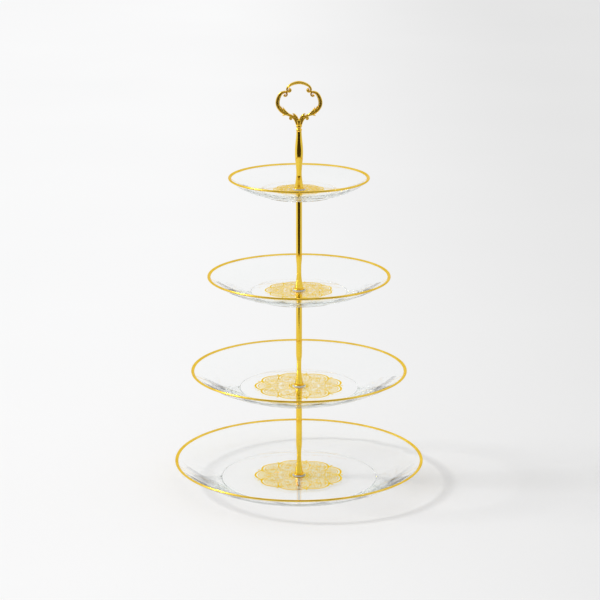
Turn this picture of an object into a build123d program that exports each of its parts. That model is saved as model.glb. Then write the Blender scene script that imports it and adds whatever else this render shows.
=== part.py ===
from build123d import *
import math
import os

os.makedirs("parts", exist_ok=True)

# Four-tier glass cake stand. Millimetres, +Z up, origin on the table at the
# centre of the bottom plate's base. The handle ring lies in the XZ plane.

# ---------------------------------------------------------------- dimensions
# plates, bottom to top: rim radius, rim height, height of the flat inside,
# outer radius of the flat base, radius of the printed medallion
BOTTOM = dict(rim_r=150.0, rim_z=27.8, floor_z=6.0, foot_r=95.0, print_r=54.6)
LOWER = dict(rim_r=129.0, rim_z=141.2, floor_z=120.7, foot_r=72.0, print_r=54.0)
UPPER = dict(rim_r=108.2, rim_z=258.3, floor_z=240.8, foot_r=58.0, print_r=41.0)
TOP = dict(rim_r=82.3, rim_z=378.1, floor_z=364.2, foot_r=44.0, print_r=30.5)

GLASS_T = 3.2          # glass thickness over the recess in the middle
FOOT_DROP = 6.0        # base's underside below the flat inside
RECESS_R = 9.5         # shallow recess under the centre, for the screw or the rod below
LIP_R = 1.2            # rounded glass lip at the rim
HOLE_R = 3.0           # centre hole of a plate
WALL_BULGE_OUT = 2.4   # how far the outer wall bows from its chord
WALL_BULGE_IN = 3.1    # the same for the inner wall

GILD_T = 0.5           # gilded bead on the lip
GILD_END = 0.15        # how far the band stops short of the lip's end flats
PRINT_T = 0.15         # gold print on the plate's floor
PRINT_HOLE_R = 8.4     # bare glass under the washers
LOBES = 9              # scallops round the print

GASKET_T = 1.2         # clear silicone washers
GASKET_IN_R = 2.4
GASKET_TOP_R = 7.4
GASKET_UNDER_R = 5.6

CUP_T = 0.8            # metal cup washer's floor
CUP_H = 1.5            # its height at the rim
CUP_R = 6.8
CUP_SEAT_R = 5.5
CUP_HOLE_R = 2.3

THREAD_R = 2.0         # M4 studs and screw, modelled at the nominal radius
THREAD_GAP = 0.05      # radial running clearance in a tapped hole
ENGAGE = 8.0           # thread engagement of every screwed joint
BORE_SPARE = 2.0       # bore depth past the stud's end
STUD_BURIED = 10.0     # length of a stud pressed into its rod

ROD_TOP_R = 3.65       # rod's straight upper length
ROD_NECK_R = 2.8       # slim neck above the foot
ROD_FOOT_R = 4.95      # trumpet foot
ROD_CREASE_R = 2.95    # where the trumpet foot meets the neck
FOOT_RISE = 15.5       # height of that crease above the foot

SCREW_HEAD_R = 7.0
SCREW_HEAD_T = 1.8
SCREW_SEAL_T = 0.7     # rubber washer between the screw's head and the glass

HANDLE_FOOT_R = 5.15
HANDLE_TOP_Z = 433.4   # joint between the grip and the ring casting
RING_HALF_T = 2.1      # half the thickness of the ring casting
SPIGOT_R = 1.5
SPIGOT_L = 9.0


def wall_mid(p, q, bulge):
    """Middle point of a wall arc from p to q that bows down and outwards."""
    dx, dz = q[0] - p[0], q[1] - p[1]
    ln = math.hypot(dx, dz)
    return ((p[0] + q[0]) / 2 + dz / ln * bulge, (p[1] + q[1]) / 2 - dx / ln * bulge)


def lip_point(t, angle_deg, radius):
    """Point on a circle round the lip's centre, 0 degrees pointing outwards."""
    a = math.radians(angle_deg)
    return (t["rim_r"] + radius * math.cos(a), t["rim_z"] + radius * math.sin(a))


LIP_TILT = 125.0       # direction across the wall at the rim, towards the inside
LIP_ANGLES = [LIP_TILT - 36.0 * i for i in range(6)]   # the lip's five flats


# -------------------------------------------------------------------- plates
def make_plate(t, name):
    """Pressed glass plate: thick flat base, flared wall bowed outwards."""
    fz, fr = t["floor_z"], t["foot_r"]
    foot_z = fz - FOOT_DROP
    under_z = fz - GLASS_T
    inner_top = lip_point(t, LIP_TILT, LIP_R)
    outer_top = lip_point(t, LIP_TILT - 180.0, LIP_R)
    floor_edge = (fr + 1.0, fz)
    heel = (fr, foot_z + 0.7)
    with BuildPart() as plate:
        with BuildSketch(Plane.XZ):
            with BuildLine():
                Line((HOLE_R, under_z), (HOLE_R, fz))
                Line((HOLE_R, fz), floor_edge)
                ThreePointArc(floor_edge, wall_mid(floor_edge, inner_top, WALL_BULGE_IN), inner_top)
                Polyline(*[lip_point(t, a, LIP_R) for a in LIP_ANGLES])
                ThreePointArc(outer_top, wall_mid(heel, outer_top, WALL_BULGE_OUT), heel)
                Polyline(
                    heel,
                    (fr - 0.6, foot_z),
                    (RECESS_R + 0.9, foot_z),
                    (RECESS_R, under_z),
                    (HOLE_R, under_z),
                )
            make_face()
        revolve(axis=Axis.Z)
    plate.part.label = name
    return plate


def make_gilding(t, name):
    """Gold band fired over the lip's flats, a little short of both ends."""
    def along(radius):
        pts = [lip_point(t, a, radius) for a in LIP_ANGLES]
        first = tuple(GILD_END * q + (1 - GILD_END) * p for p, q in zip(pts[0], pts[1]))
        last = tuple(GILD_END * q + (1 - GILD_END) * p for p, q in zip(pts[-1], pts[-2]))
        return [first] + pts[1:-1] + [last]

    inner, outer = along(LIP_R), along(LIP_R + GILD_T)
    with BuildPart() as gilding:
        with BuildSketch(Plane.XZ):
            with BuildLine():
                Polyline(*inner, *reversed(outer), inner[0])
            make_face()
        revolve(axis=Axis.Z)
    gilding.part.label = name
    return gilding


def make_print(t, name):
    """Scalloped gold print on the flat inside, drawn as one thin layer."""
    lobe_mid_r = t["print_r"] * 0.62
    lobe_r = t["print_r"] - lobe_mid_r
    with BuildPart() as medallion:
        with BuildSketch(Plane.XY.offset(t["floor_z"])):
            Circle(lobe_mid_r * 1.12)
            with PolarLocations(lobe_mid_r, LOBES, start_angle=180.0 / LOBES):
                Circle(lobe_r)
            Circle(PRINT_HOLE_R, mode=Mode.SUBTRACT)
        extrude(amount=PRINT_T)
    medallion.part.label = name
    return medallion


# ---------------------------------------------------------- washers and seals
def make_ring_washer(r_in, r_out, z, thick, name, soften=0.2):
    """Flat washer with eased outer edges, its underside at z."""
    with BuildPart() as washer:
        with BuildSketch(Plane.XY.offset(z)):
            Circle(r_out)
            Circle(r_in, mode=Mode.SUBTRACT)
        extrude(amount=thick)
        outer = washer.edges().filter_by(GeomType.CIRCLE).group_by(SortBy.RADIUS)[-1]
        fillet(outer, soften)
    washer.part.label = name
    return washer


def make_cup(z, name):
    """Turned cup washer: flat floor with a rolled, rising rim."""
    with BuildPart() as cup:
        with BuildSketch(Plane.XZ):
            with BuildLine():
                Polyline(
                    (CUP_HOLE_R, z + CUP_T),
                    (CUP_HOLE_R, z),
                    (CUP_R - 0.7, z),
                )
                ThreePointArc((CUP_R - 0.7, z), (CUP_R, z + CUP_H / 2), (CUP_R - 0.7, z + CUP_H))
                Polyline(
                    (CUP_R - 0.7, z + CUP_H),
                    (CUP_SEAT_R, z + CUP_T),
                    (CUP_HOLE_R, z + CUP_T),
                )
            make_face()
        revolve(axis=Axis.Z)
    cup.part.label = name
    return cup


# ---------------------------------------------------------------------- rods
def foot_height(t):
    """Height at which a rod or the handle stands in the cup above a plate."""
    return t["floor_z"] + GASKET_T + CUP_T


def shoulder_height(t):
    """Height of the rod's top shoulder, which carries the plate above it."""
    return t["floor_z"] - GLASS_T - GASKET_T


def make_rod(below, above, name):
    """Turned rod: trumpet foot, slim neck, swelling to a straight tube."""
    z0, z1 = foot_height(below), shoulder_height(above)
    bore_r = THREAD_R + THREAD_GAP
    with BuildPart() as rod:
        with BuildSketch(Plane.XZ):
            with BuildLine():
                Polyline(
                    (0, z0 + ENGAGE + BORE_SPARE),
                    (bore_r, z0 + ENGAGE + BORE_SPARE),
                    (bore_r, z0 + 0.5),
                    (bore_r + 0.5, z0),
                    (ROD_FOOT_R - 0.3, z0),
                    (ROD_FOOT_R, z0 + 0.5),
                    (ROD_FOOT_R, z0 + 1.2),
                )
                Spline(
                    (ROD_FOOT_R, z0 + 1.2),
                    (4.25, z0 + 5.0),
                    (3.55, z0 + 10.0),
                    (ROD_CREASE_R, z0 + FOOT_RISE),
                )
                Polyline(
                    (ROD_CREASE_R, z0 + FOOT_RISE),
                    (ROD_NECK_R, z0 + FOOT_RISE + 3.0),
                    (ROD_NECK_R, z0 + 27.0),
                )
                Spline(
                    (ROD_NECK_R, z0 + 27.0),
                    ((ROD_NECK_R + ROD_TOP_R) / 2, z0 + 33.0),
                    (ROD_TOP_R, z0 + 39.0),
                    tangents=((0.0, 1.0), (0.0, 1.0)),
                )
                Polyline(
                    (ROD_TOP_R, z0 + 39.0),
                    (ROD_TOP_R, z1 - 0.4),
                    (ROD_TOP_R - 0.4, z1),
                    (THREAD_R, z1),
                    (THREAD_R, z1 - STUD_BURIED),
                    (0, z1 - STUD_BURIED),
                    (0, z0 + ENGAGE + BORE_SPARE),
                )
            make_face()
        revolve(axis=Axis.Z)
    rod.part.label = name
    return rod


def make_stud(above, name):
    """Threaded stud pressed into a rod's top, reaching through the plate."""
    z1 = shoulder_height(above)
    tip = foot_height(above) + ENGAGE
    with BuildPart() as stud:
        with BuildSketch(Plane.XY.offset(z1 - STUD_BURIED)):
            Circle(THREAD_R)
        extrude(amount=tip - (z1 - STUD_BURIED))
        ends = stud.edges().filter_by(GeomType.CIRCLE)
        chamfer(ends, 0.4)
    stud.part.label = name
    return stud


plate_bottom = make_plate(BOTTOM, "plate_bottom")
plate_lower = make_plate(LOWER, "plate_lower")
plate_upper = make_plate(UPPER, "plate_upper")
plate_top = make_plate(TOP, "plate_top")

rim_gilding_bottom = make_gilding(BOTTOM, "rim_gilding_bottom")
rim_gilding_lower = make_gilding(LOWER, "rim_gilding_lower")
rim_gilding_upper = make_gilding(UPPER, "rim_gilding_upper")
rim_gilding_top = make_gilding(TOP, "rim_gilding_top")

medallion_bottom = make_print(BOTTOM, "medallion_bottom")
medallion_lower = make_print(LOWER, "medallion_lower")
medallion_upper = make_print(UPPER, "medallion_upper")
medallion_top = make_print(TOP, "medallion_top")

gasket_bottom = make_ring_washer(GASKET_IN_R, GASKET_TOP_R, BOTTOM["floor_z"], GASKET_T, "gasket_bottom")
gasket_lower = make_ring_washer(GASKET_IN_R, GASKET_TOP_R, LOWER["floor_z"], GASKET_T, "gasket_lower")
gasket_upper = make_ring_washer(GASKET_IN_R, GASKET_TOP_R, UPPER["floor_z"], GASKET_T, "gasket_upper")
gasket_top = make_ring_washer(GASKET_IN_R, GASKET_TOP_R, TOP["floor_z"], GASKET_T, "gasket_top")

support_seal_lower = make_ring_washer(
    GASKET_IN_R, GASKET_UNDER_R, shoulder_height(LOWER), GASKET_T, "support_seal_lower"
)
support_seal_upper = make_ring_washer(
    GASKET_IN_R, GASKET_UNDER_R, shoulder_height(UPPER), GASKET_T, "support_seal_upper"
)
support_seal_top = make_ring_washer(
    GASKET_IN_R, GASKET_UNDER_R, shoulder_height(TOP), GASKET_T, "support_seal_top"
)

cup_washer_bottom = make_cup(BOTTOM["floor_z"] + GASKET_T, "cup_washer_bottom")
cup_washer_lower = make_cup(LOWER["floor_z"] + GASKET_T, "cup_washer_lower")
cup_washer_upper = make_cup(UPPER["floor_z"] + GASKET_T, "cup_washer_upper")
cup_washer_top = make_cup(TOP["floor_z"] + GASKET_T, "cup_washer_top")

rod_lower = make_rod(BOTTOM, LOWER, "rod_lower")
rod_middle = make_rod(LOWER, UPPER, "rod_middle")
rod_upper = make_rod(UPPER, TOP, "rod_upper")

stud_lower = make_stud(LOWER, "stud_lower")
stud_middle = make_stud(UPPER, "stud_middle")
stud_upper = make_stud(TOP, "stud_upper")


# -------------------------------------------------- screw under the bottom
under_z = BOTTOM["floor_z"] - GLASS_T
head_top = under_z - SCREW_SEAL_T
screw_tip = foot_height(BOTTOM) + ENGAGE
with BuildPart() as base_screw:
    with BuildSketch(Plane.XY.offset(head_top - SCREW_HEAD_T)):
        Circle(SCREW_HEAD_R)
    extrude(amount=SCREW_HEAD_T)
    rim = base_screw.edges().filter_by(GeomType.CIRCLE).group_by(Axis.Z)[0]
    fillet(rim, 0.9)
    with BuildSketch(Plane.XY.offset(head_top)):
        Circle(THREAD_R)
    extrude(amount=screw_tip - head_top)
    tip_edge = base_screw.edges().filter_by(GeomType.CIRCLE).group_by(Axis.Z)[-1]
    chamfer(tip_edge, 0.4)
    # cross recess for the driver
    with BuildSketch(Plane.XY.offset(head_top - SCREW_HEAD_T)):
        Rectangle(5.6, 1.1)
        Rectangle(1.1, 5.6)
    extrude(amount=1.1, mode=Mode.SUBTRACT)
base_screw.part.label = "base_screw"

screw_seal = make_ring_washer(GASKET_IN_R, 6.6, head_top, SCREW_SEAL_T, "screw_seal", soften=0.15)


# -------------------------------------------------------------- handle grip
g0 = foot_height(TOP)
gt = HANDLE_TOP_Z
bore_r = THREAD_R + THREAD_GAP
with BuildPart() as handle_grip:
    with BuildSketch(Plane.XZ):
        with BuildLine():
            Polyline(
                (0, g0 + ENGAGE + BORE_SPARE),
                (bore_r, g0 + ENGAGE + BORE_SPARE),
                (bore_r, g0 + 0.5),
                (bore_r + 0.5, g0),
                (HANDLE_FOOT_R - 0.4, g0),
                (HANDLE_FOOT_R, g0 + 0.5),
                (HANDLE_FOOT_R, g0 + 1.2),
            )
            Spline(
                (HANDLE_FOOT_R, g0 + 1.2),
                (4.5, g0 + 5.0),
                (3.85, g0 + 10.0),
                (3.3, g0 + 15.0),
            )
            Spline(
                (3.3, g0 + 15.0),
                (3.25, g0 + 18.0),
                (3.6, g0 + 25.0),
                (4.3, g0 + 32.0),
                (4.8, g0 + 38.5),
                (4.85, g0 + 45.0),
                (4.3, g0 + 53.5),
                (3.5, g0 + 61.0),
                (3.2, gt - 2.0),
            )
            Polyline(
                (3.2, gt - 2.0),
                (3.1, gt),
                (SPIGOT_R, gt),
                (SPIGOT_R, gt - SPIGOT_L),
                (0, gt - SPIGOT_L),
                (0, g0 + ENGAGE + BORE_SPARE),
            )
        make_face()
    revolve(axis=Axis.Z)
handle_grip.part.label = "handle_grip"


# --------------------------------------------------------------- handle ring
def ribbon_sides(path, halves):
    """Left and right side points of a band of varying half width."""
    left, right = [], []
    n = len(path)
    for i, (x, z) in enumerate(path):
        a = path[max(i - 1, 0)]
        b = path[min(i + 1, n - 1)]
        dx, dz = b[0] - a[0], b[1] - a[1]
        ln = math.hypot(dx, dz)
        nx, nz = -dz / ln, dx / ln
        left.append((x + nx * halves[i], z + nz * halves[i]))
        right.append((x - nx * halves[i], z - nz * halves[i]))
    return left, right


# the top bow, from its left curl over the crown to its right curl
BOW = [(-14.5, 482.2), (-13.6, 485.2), (-11.2, 488.0), (-7.3, 490.3), (-2.9, 491.5), (0.6, 491.8)]
BOW_W = [1.2, 1.4, 1.6, 1.8, 1.9, 2.0]
# the left side lobe, from its curl round to the bottom branch
LOBE = [
    (-14.2, 480.4), (-18.0, 480.5), (-21.3, 478.9), (-23.7, 475.2), (-25.2, 471.5), (-25.6, 467.4),
    (-24.4, 463.1), (-21.7, 458.9), (-18.0, 455.6), (-13.9, 453.9), (-9.8, 452.6), (-6.6, 450.5),
    (-3.9, 447.3), (-2.4, 443.9), (-1.6, 441.5),
]
LOBE_W = [1.1, 1.4, 1.6, 1.9, 2.1, 2.1, 2.0, 1.9, 1.7, 1.5, 1.5, 1.6, 1.8, 1.9, 1.9]
# the inner leaf that crosses the bottom branch
LEAF = [(-7.7, 455.9), (-5.4, 454.0), (-3.1, 451.2), (-1.6, 447.2), (-1.0, 442.0)]
LEAF_W = [0.9, 1.3, 1.5, 1.5, 1.4]
# the acanthus leaf inside the lobe and the spur outside it
ACANTHUS = [(-21.4, 464.6), (-20.2, 461.6), (-18.2, 458.6), (-15.6, 456.2), (-12.9, 454.7)]
ACANTHUS_W = [0.7, 1.6, 2.0, 1.6, 0.8]
SPUR = [(-20.0, 451.9), (-17.3, 453.2), (-14.0, 454.2)]
SPUR_W = [0.5, 1.0, 1.2]

RING_TOP_CURL = ((-11.4, 482.6), 3.0)
RING_SIDE_CURL = ((-16.6, 477.2), 2.5)
RING_LOW_CURL = ((-9.3, 449.4), 2.2)


def mirrored(points):
    return [(-x, z) for x, z in points]


with BuildPart() as handle_ring:
    with BuildSketch(Plane.XZ):
        for path, halves in (
            (BOW + mirrored(BOW)[-2::-1], BOW_W + BOW_W[-2::-1]),
            (LOBE, LOBE_W),
            (mirrored(LOBE), LOBE_W),
            (LEAF, LEAF_W),
            (mirrored(LEAF), LEAF_W),
            (ACANTHUS, ACANTHUS_W),
            (mirrored(ACANTHUS), ACANTHUS_W),
            (SPUR, SPUR_W),
            (mirrored(SPUR), SPUR_W),
        ):
            left, right = ribbon_sides(path, halves)
            with BuildLine():
                Spline(*left)
                Line(left[-1], right[-1])
                Spline(*right[::-1])
                Line(right[0], left[0])
            make_face()
        for (cx, cz), r in (RING_TOP_CURL, RING_SIDE_CURL, RING_LOW_CURL):
            with Locations((cx, cz), (-cx, cz)):
                Circle(r)
    extrude(amount=RING_HALF_T, both=True)
    # neck, double bead and the spigot that is fixed in the grip
    with BuildSketch(Plane.XZ):
        with BuildLine():
            Polyline(
                (0, gt - SPIGOT_L),
                (SPIGOT_R, gt - SPIGOT_L),
                (SPIGOT_R, gt),
                (3.0, gt),
                (3.1, gt + 0.9),
            )
            ThreePointArc((3.1, gt + 0.9), (3.5, gt + 2.6), (2.8, gt + 4.2))
            Line((2.8, gt + 4.2), (2.7, gt + 5.4))
            ThreePointArc((2.7, gt + 5.4), (3.55, gt + 7.4), (2.9, gt + 9.0))
            Polyline(
                (2.9, gt + 9.0),
                (2.8, gt + 10.0),
                (2.5, gt + 15.0),
                (0, gt + 16.5),
                (0, gt - SPIGOT_L),
            )
        make_face()
    revolve(axis=Axis.Z)
handle_ring.part.label = "handle_ring"


# -------------------------------------------------------------------- export
for piece in (
    plate_bottom, plate_lower, plate_upper, plate_top,
    rim_gilding_bottom, rim_gilding_lower, rim_gilding_upper, rim_gilding_top,
    medallion_bottom, medallion_lower, medallion_upper, medallion_top,
    gasket_bottom, gasket_lower, gasket_upper, gasket_top,
    support_seal_lower, support_seal_upper, support_seal_top,
    cup_washer_bottom, cup_washer_lower, cup_washer_upper, cup_washer_top,
    rod_lower, rod_middle, rod_upper,
    stud_lower, stud_middle, stud_upper,
    base_screw, screw_seal,
    handle_grip, handle_ring,
):
    export_step(piece.part, f"parts/{piece.part.label}.step")
    box = piece.part.bounding_box()
    print(
        f"{piece.part.label:22s} {piece.part.volume:11.1f} mm3  z {box.min.Z:7.2f} to {box.max.Z:7.2f}"
        f"  solids {len(piece.part.solids())}"
    )
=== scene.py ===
import math
import random

import bmesh
import bpy
import numpy as np
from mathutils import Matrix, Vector
from mathutils.bvhtree import BVHTree


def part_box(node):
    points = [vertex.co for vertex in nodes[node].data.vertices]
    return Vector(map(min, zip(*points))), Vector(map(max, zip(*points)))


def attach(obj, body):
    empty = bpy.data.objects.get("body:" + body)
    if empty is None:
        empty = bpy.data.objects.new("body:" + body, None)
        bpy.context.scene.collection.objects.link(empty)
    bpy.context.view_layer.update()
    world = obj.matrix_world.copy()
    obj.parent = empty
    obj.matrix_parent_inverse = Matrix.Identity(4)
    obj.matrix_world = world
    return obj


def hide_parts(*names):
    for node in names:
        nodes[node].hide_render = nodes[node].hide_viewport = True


# Four-tier glass cake stand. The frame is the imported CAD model, in metres. Pieces
# below are drawn in millimetres and scaled by MM.

MM = 0.001
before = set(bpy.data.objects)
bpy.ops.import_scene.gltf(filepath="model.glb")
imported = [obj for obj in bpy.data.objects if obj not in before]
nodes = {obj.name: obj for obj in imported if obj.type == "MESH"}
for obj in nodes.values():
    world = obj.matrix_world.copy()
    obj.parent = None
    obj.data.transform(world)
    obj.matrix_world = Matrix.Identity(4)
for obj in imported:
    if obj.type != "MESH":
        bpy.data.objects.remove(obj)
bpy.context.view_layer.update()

TIERS = {
    # rim radius, outer radius of the foot ring, radius of the print, body, seed
    "bottom": dict(rim=150.0, foot=95.0, print_r=54.6, body="base", seed=3),
    "lower": dict(rim=129.0, foot=72.0, print_r=54.0, body="dish_lower", seed=8),
    "upper": dict(rim=108.2, foot=58.0, print_r=41.0, body="dish_upper", seed=14),
    "top": dict(rim=82.3, foot=44.0, print_r=30.5, body="dish_top", seed=21),
}
for name, t in TIERS.items():
    lo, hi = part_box("medallion_" + name)
    t["floor"] = lo.z / MM
    lo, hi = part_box("plate_" + name)
    t["base"] = lo.z / MM
    lo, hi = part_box("rim_gilding_" + name)
    t["outer"] = hi.x / MM
    t["rim_z"] = {"bottom": 27.8, "lower": 141.2, "upper": 258.3, "top": 378.1}[name]


# ------------------------------------------------------------------ helpers
def mesh_object(name, verts, faces, body, material, smooth_angle=None):
    me = bpy.data.meshes.new(name)
    me.from_pydata([tuple(c * MM for c in v) for v in verts], [], faces)
    me.update()
    me.shade_smooth()
    if smooth_angle is not None:
        me.set_sharp_from_angle(angle=math.radians(smooth_angle))
    ob = bpy.data.objects.new(name, me)
    bpy.context.scene.collection.objects.link(ob)
    me.materials.append(material)
    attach(ob, body)
    return ob


def face_outwards(ob):
    bm = bmesh.new()
    bm.from_mesh(ob.data)
    bmesh.ops.recalc_face_normals(bm, faces=bm.faces)
    bm.to_mesh(ob.data)
    bm.free()
    ob.data.update()


def arc(p, q, bulge, n):
    """n + 1 points from p to q on the arc that bows down and outwards by bulge."""
    p, q = np.array(p, float), np.array(q, float)
    d = q - p
    c = np.hypot(*d)
    side = np.array([d[1], -d[0]]) / c
    radius = (c * c / 4 + bulge * bulge) / (2 * bulge)
    centre = (p + q) / 2 + side * (bulge - radius)
    a0 = math.atan2(*(p - centre)[::-1])
    a1 = math.atan2(*(q - centre)[::-1])
    while a1 - a0 > math.pi:
        a1 -= 2 * math.pi
    while a1 - a0 < -math.pi:
        a1 += 2 * math.pi
    return [tuple(centre + radius * np.array([math.cos(a), math.sin(a)])) for a in np.linspace(a0, a1, n + 1)]


def node_tree(mat):
    mat.use_nodes = True
    nt = mat.node_tree
    nt.nodes.clear()
    return nt, nt.nodes.new("ShaderNodeOutputMaterial")


def add(nt, kind, **values):
    n = nt.nodes.new(kind)
    for k, v in values.items():
        if k in n.inputs:
            n.inputs[k].default_value = v
        else:
            setattr(n, k, v)
    return n


def link(nt, a, out, b, inp):
    nt.links.new(a.outputs[out], b.inputs[inp])


def ramp(nt, stops):
    n = nt.nodes.new("ShaderNodeValToRGB")
    el = n.color_ramp.elements
    while len(el) > 1:
        el.remove(el[-1])
    el[0].position, el[0].color = stops[0][0], (*stops[0][1], 1)
    for pos, col in stops[1:]:
        e = el.new(pos)
        e.color = (*col, 1)
    return n


# ---------------------------------------------------------------- materials
def gold(name, light, dark, rough=(0.10, 0.20), grain=900.0, bump=0.02, lathe=False, thin=0.0, edge=(1.0, 1.0, 1.0)):
    """Polished plated or fired gold: soft colour drift, fine wipe marks and a
    little unevenness in the surface."""
    mat = bpy.data.materials.new(name)
    nt, out = node_tree(mat)
    p = add(nt, "ShaderNodeBsdfPrincipled")
    p.inputs["Metallic"].default_value = 1.0
    p.inputs["Specular Tint"].default_value = edge + (1,)
    tc = add(nt, "ShaderNodeTexCoord")
    drift = add(nt, "ShaderNodeTexNoise", Scale=55.0, Detail=5.0, Roughness=0.6)
    link(nt, tc, "Object", drift, "Vector")
    col = ramp(nt, [(0.30, dark), (0.62, light)])
    link(nt, drift, "Fac", col, "Fac")
    link(nt, col, "Color", p, "Base Color")
    fine = add(nt, "ShaderNodeTexNoise", Scale=grain, Detail=3.0, Roughness=0.55)
    if lathe:
        squash = add(nt, "ShaderNodeMapping")
        squash.inputs["Scale"].default_value = (0.05, 0.05, 1.0)
        link(nt, tc, "Object", squash, "Vector")
        link(nt, squash, "Vector", fine, "Vector")
    else:
        link(nt, tc, "Object", fine, "Vector")
    r = add(nt, "ShaderNodeMapRange")
    r.inputs["From Min"].default_value = 0.3
    r.inputs["From Max"].default_value = 0.7
    r.inputs["To Min"].default_value = rough[0]
    r.inputs["To Max"].default_value = rough[1]
    link(nt, fine, "Fac", r, "Value")
    link(nt, r, "Result", p, "Roughness")
    b = add(nt, "ShaderNodeBump", Strength=bump, Distance=0.0004)
    link(nt, fine, "Fac", b, "Height")
    link(nt, b, "Normal", p, "Normal")
    if thin:
        # thin ink: part of the light comes through to what lies below
        clear = add(nt, "ShaderNodeBsdfTransparent")
        clear.inputs["Color"].default_value = (1.0, 0.985, 0.93, 1)
        lp = add(nt, "ShaderNodeLightPath")
        either = add(nt, "ShaderNodeMath", operation="MAXIMUM")
        link(nt, lp, "Is Shadow Ray", either, 0)
        link(nt, lp, "Is Diffuse Ray", either, 1)
        part = add(nt, "ShaderNodeMath", operation="MULTIPLY")
        nt.links.new(either.outputs[0], part.inputs[0])
        part.inputs[1].default_value = thin
        mix = add(nt, "ShaderNodeMixShader")
        nt.links.new(part.outputs[0], mix.inputs[0])
        nt.links.new(p.outputs[0], mix.inputs[1])
        nt.links.new(clear.outputs[0], mix.inputs[2])
        link(nt, mix, "Shader", out, "Surface")
        return mat
    link(nt, p, "BSDF", out, "Surface")
    return mat


def clear_glass():
    """Pressed glass with a faint waviness. Light from lamps comes through it,
    weaker where it crosses the wall at a slant."""
    mat = bpy.data.materials.new("clear_pressed_glass")
    nt, out = node_tree(mat)
    g = add(nt, "ShaderNodeBsdfGlass", IOR=1.5, Roughness=0.0)
    tc = add(nt, "ShaderNodeTexCoord")
    wave = add(nt, "ShaderNodeTexNoise", Scale=48.0, Detail=2.0, Roughness=0.45)
    link(nt, tc, "Object", wave, "Vector")
    b = add(nt, "ShaderNodeBump", Strength=0.06, Distance=0.0008)
    link(nt, wave, "Fac", b, "Height")
    link(nt, b, "Normal", g, "Normal")
    tint = ramp(nt, [(0.25, (0.998, 1.0, 0.999)), (0.75, (0.993, 0.998, 0.996))])
    link(nt, wave, "Fac", tint, "Fac")
    link(nt, tint, "Color", g, "Color")
    clear = add(nt, "ShaderNodeBsdfTransparent")
    slant = add(nt, "ShaderNodeLayerWeight", Blend=0.5)
    fade = ramp(nt, [(0.0, (0.996, 0.996, 0.996)), (0.5, (0.990, 0.990, 0.990)), (0.8, (0.945, 0.945, 0.945)), (1.0, (0.74, 0.74, 0.74))])
    link(nt, slant, "Facing", fade, "Fac")
    link(nt, fade, "Color", clear, "Color")
    lp = add(nt, "ShaderNodeLightPath")
    either = add(nt, "ShaderNodeMath", operation="MAXIMUM")
    link(nt, lp, "Is Shadow Ray", either, 0)
    link(nt, lp, "Is Diffuse Ray", either, 1)
    mix = add(nt, "ShaderNodeMixShader")
    nt.links.new(either.outputs[0], mix.inputs[0])
    nt.links.new(g.outputs[0], mix.inputs[1])
    nt.links.new(clear.outputs[0], mix.inputs[2])
    link(nt, mix, "Shader", out, "Surface")
    return mat


def silicone():
    """Clear, slightly milky silicone washer."""
    mat = bpy.data.materials.new("clear_silicone")
    nt, out = node_tree(mat)
    p = add(nt, "ShaderNodeBsdfPrincipled")
    p.inputs["Transmission Weight"].default_value = 0.4
    p.inputs["IOR"].default_value = 1.41
    tc = add(nt, "ShaderNodeTexCoord")
    n = add(nt, "ShaderNodeTexNoise", Scale=420.0, Detail=3.0)
    link(nt, tc, "Object", n, "Vector")
    col = ramp(nt, [(0.3, (0.93, 0.935, 0.92)), (0.7, (0.985, 0.985, 0.975))])
    link(nt, n, "Fac", col, "Fac")
    link(nt, col, "Color", p, "Base Color")
    r = add(nt, "ShaderNodeMapRange")
    r.inputs["To Min"].default_value = 0.16
    r.inputs["To Max"].default_value = 0.34
    link(nt, n, "Fac", r, "Value")
    link(nt, r, "Result", p, "Roughness")
    b = add(nt, "ShaderNodeBump", Strength=0.05, Distance=0.0003)
    link(nt, n, "Fac", b, "Height")
    link(nt, b, "Normal", p, "Normal")
    link(nt, p, "BSDF", out, "Surface")
    return mat


def steel():
    """Rolled machine thread: bright ridges, duller in the grooves."""
    mat = bpy.data.materials.new("zinc_steel")
    nt, out = node_tree(mat)
    p = add(nt, "ShaderNodeBsdfPrincipled")
    p.inputs["Metallic"].default_value = 1.0
    tc = add(nt, "ShaderNodeTexCoord")
    w = add(nt, "ShaderNodeTexWave", Scale=226.0, Distortion=0.0)
    w.wave_type = "BANDS"
    w.bands_direction = "Z"
    link(nt, tc, "Object", w, "Vector")
    n = add(nt, "ShaderNodeTexNoise", Scale=700.0, Detail=4.0)
    link(nt, tc, "Object", n, "Vector")
    col = ramp(nt, [(0.3, (0.42, 0.42, 0.43)), (0.7, (0.66, 0.66, 0.67))])
    link(nt, n, "Fac", col, "Fac")
    link(nt, col, "Color", p, "Base Color")
    r = add(nt, "ShaderNodeMapRange")
    r.inputs["To Min"].default_value = 0.22
    r.inputs["To Max"].default_value = 0.42
    link(nt, n, "Fac", r, "Value")
    link(nt, r, "Result", p, "Roughness")
    b = add(nt, "ShaderNodeBump", Strength=0.6, Distance=0.0003)
    link(nt, w, "Fac", b, "Height")
    link(nt, b, "Normal", p, "Normal")
    link(nt, p, "BSDF", out, "Surface")
    return mat


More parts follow.
